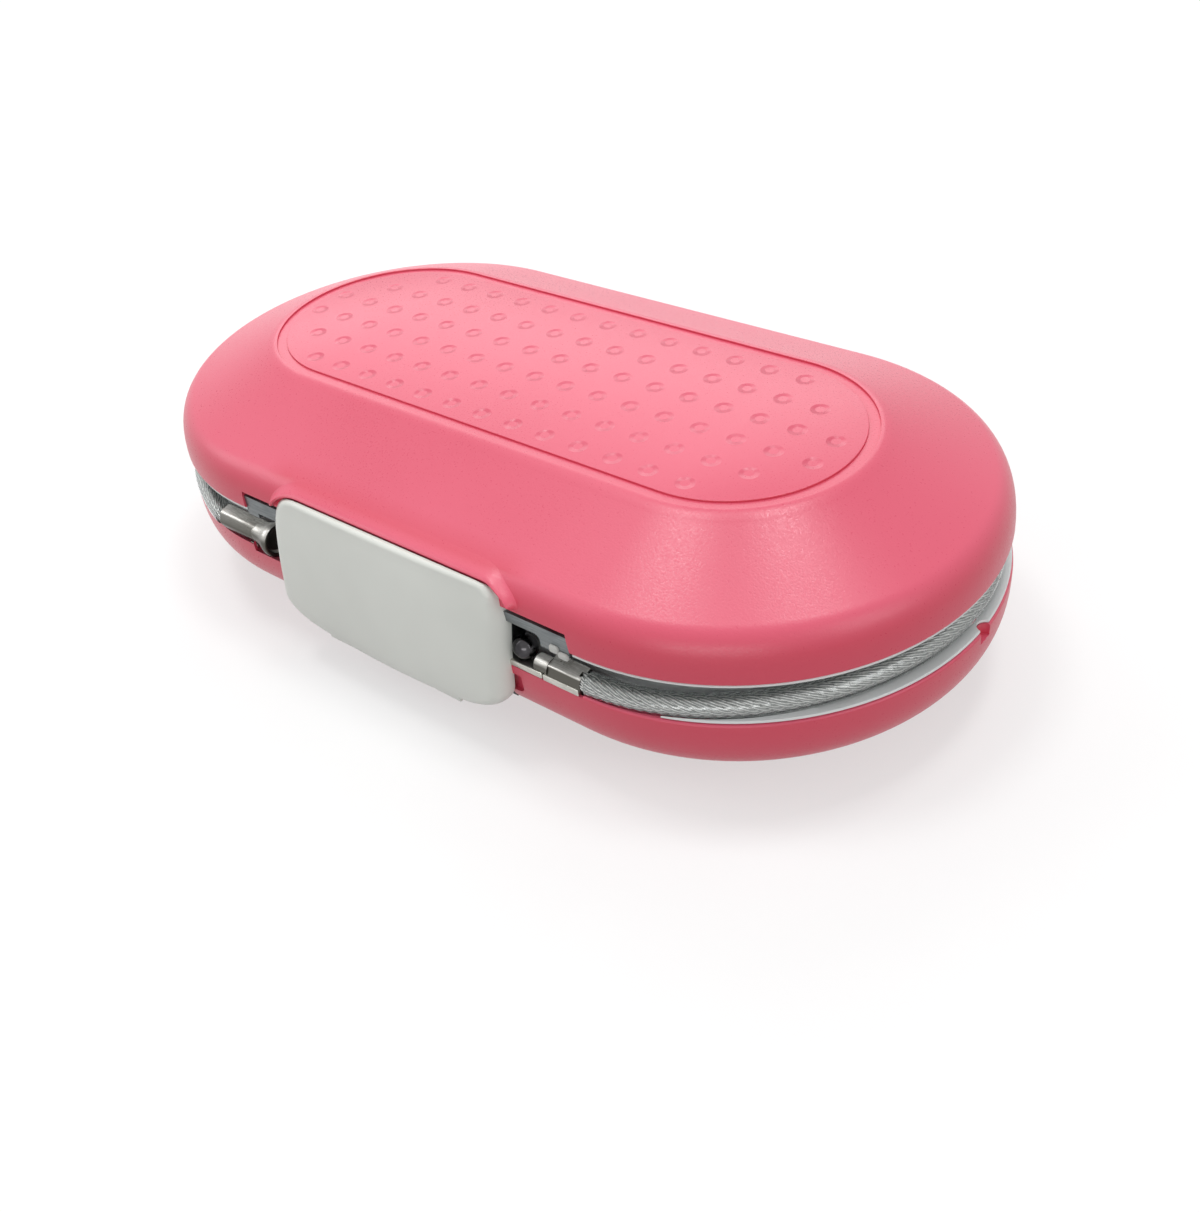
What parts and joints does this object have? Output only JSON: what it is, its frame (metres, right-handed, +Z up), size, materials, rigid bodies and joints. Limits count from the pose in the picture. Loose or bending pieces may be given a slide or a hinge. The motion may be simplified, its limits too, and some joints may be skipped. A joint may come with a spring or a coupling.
{
  "type": "medication lock box",
  "caption": "Clam-shaped medication lock box: hinged lid, combination lock behind a drop-down cover, and a security cable stowed in a groove round its middle.",
  "frame": {"origin": "centre of the flat face that the box stands on", "axes": "+X along the length, to the right as seen from the lock; -Y towards the lock and its cover; +Z up"},
  "size_m": [0.242, 0.1361, 0.061],
  "materials": {
    "pink_plastic": "satin moulded, fine grain",
    "grey_liner": "satin moulded",
    "cover_plastic": "satin, soft edges",
    "dark_steel": "dark plated sheet",
    "steel": "satin",
    "black_plastic": "satin",
    "button_plastic": "satin",
    "rope_steel": "twisted wire, bright",
    "clear_jacket": "clear, glossy",
    "ferrule_steel": "satin silver, crimped",
    "ball_chrome": "polished dark chrome"
  },
  "bodies": {
    "base": {"base_shell": "pink_plastic", "base_liner": "grey_liner", "lock_chassis": "dark_steel", "lock_face_plate": "black_plastic", "dial_shaft": "steel", "detent_spring": "steel", "button_spring": "steel", "cover_hinge_pin": "steel", "lid_hinge_pin": "steel", "cable_rope": "rope_steel", "cable_jacket": "clear_jacket", "ferrule_right": "ferrule_steel", "ferrule_left": "ferrule_steel", "lock_ball": "ball_chrome", "cable_seat_right": "steel", "cable_seat_left": "steel", "chassis_screw_left": "steel", "chassis_screw_right": "steel", "face_plate_screw_left": "steel", "face_plate_screw_right": "steel"},
    "lid": {"lid_shell": "pink_plastic", "lid_liner": "grey_liner", "lid_lock_plate": "dark_steel", "lid_plate_screw_left": "steel", "lid_plate_screw_right": "steel"},
    "cover": {"dial_cover": "cover_plastic"},
    "wheel_1": {"dial_1": "black_plastic", "tumbler_1": "steel"},
    "wheel_2": {"dial_2": "black_plastic", "tumbler_2": "steel"},
    "wheel_3": {"dial_3": "black_plastic", "tumbler_3": "steel"},
    "wheel_4": {"dial_4": "black_plastic", "tumbler_4": "steel"},
    "button": {"release_button": "button_plastic"},
    "latch": {"latch_bar": "steel"}
  },
  "joints": [
    {"name": "lid_hinge", "type": "hinge", "parent": "base", "child": "lid", "pos_m": [0, 0.0613, 0.0329], "axis": [-1, 0, 0], "range_deg": [0, 95]},
    {"name": "cover_hinge", "type": "hinge", "parent": "base", "child": "cover", "pos_m": [-0.0023, -0.064, 0.0122], "axis": [1, 0, 0], "range_deg": [0, 90]},
    {"name": "wheel_1_turn", "type": "hinge", "parent": "base", "child": "wheel_1", "pos_m": [-0.0263, -0.0546, 0.027], "axis": [1, 0, 0], "continuous": true},
    {"name": "wheel_2_turn", "type": "hinge", "parent": "base", "child": "wheel_2", "pos_m": [-0.0163, -0.0546, 0.027], "axis": [1, 0, 0], "continuous": true},
    {"name": "wheel_3_turn", "type": "hinge", "parent": "base", "child": "wheel_3", "pos_m": [-0.0063, -0.0546, 0.027], "axis": [1, 0, 0], "continuous": true},
    {"name": "wheel_4_turn", "type": "hinge", "parent": "base", "child": "wheel_4", "pos_m": [0.0037, -0.0546, 0.027], "axis": [1, 0, 0], "continuous": true},
    {"name": "button_press", "type": "slide", "parent": "base", "child": "button", "axis": [0, 1, 0], "range_m": [0, 0.002], "stiffness_N_per_m": 300, "springref_m": -0.003, "deforming": ["button_spring"]},
    {"name": "latch_slide", "type": "slide", "parent": "base", "child": "latch", "axis": [1, 0, 0], "range_m": [0, 0.002]}
  ],
  "couplings": [
    {"joint": "latch_slide", "follows": "button_press", "ratio": 1}
  ]
}
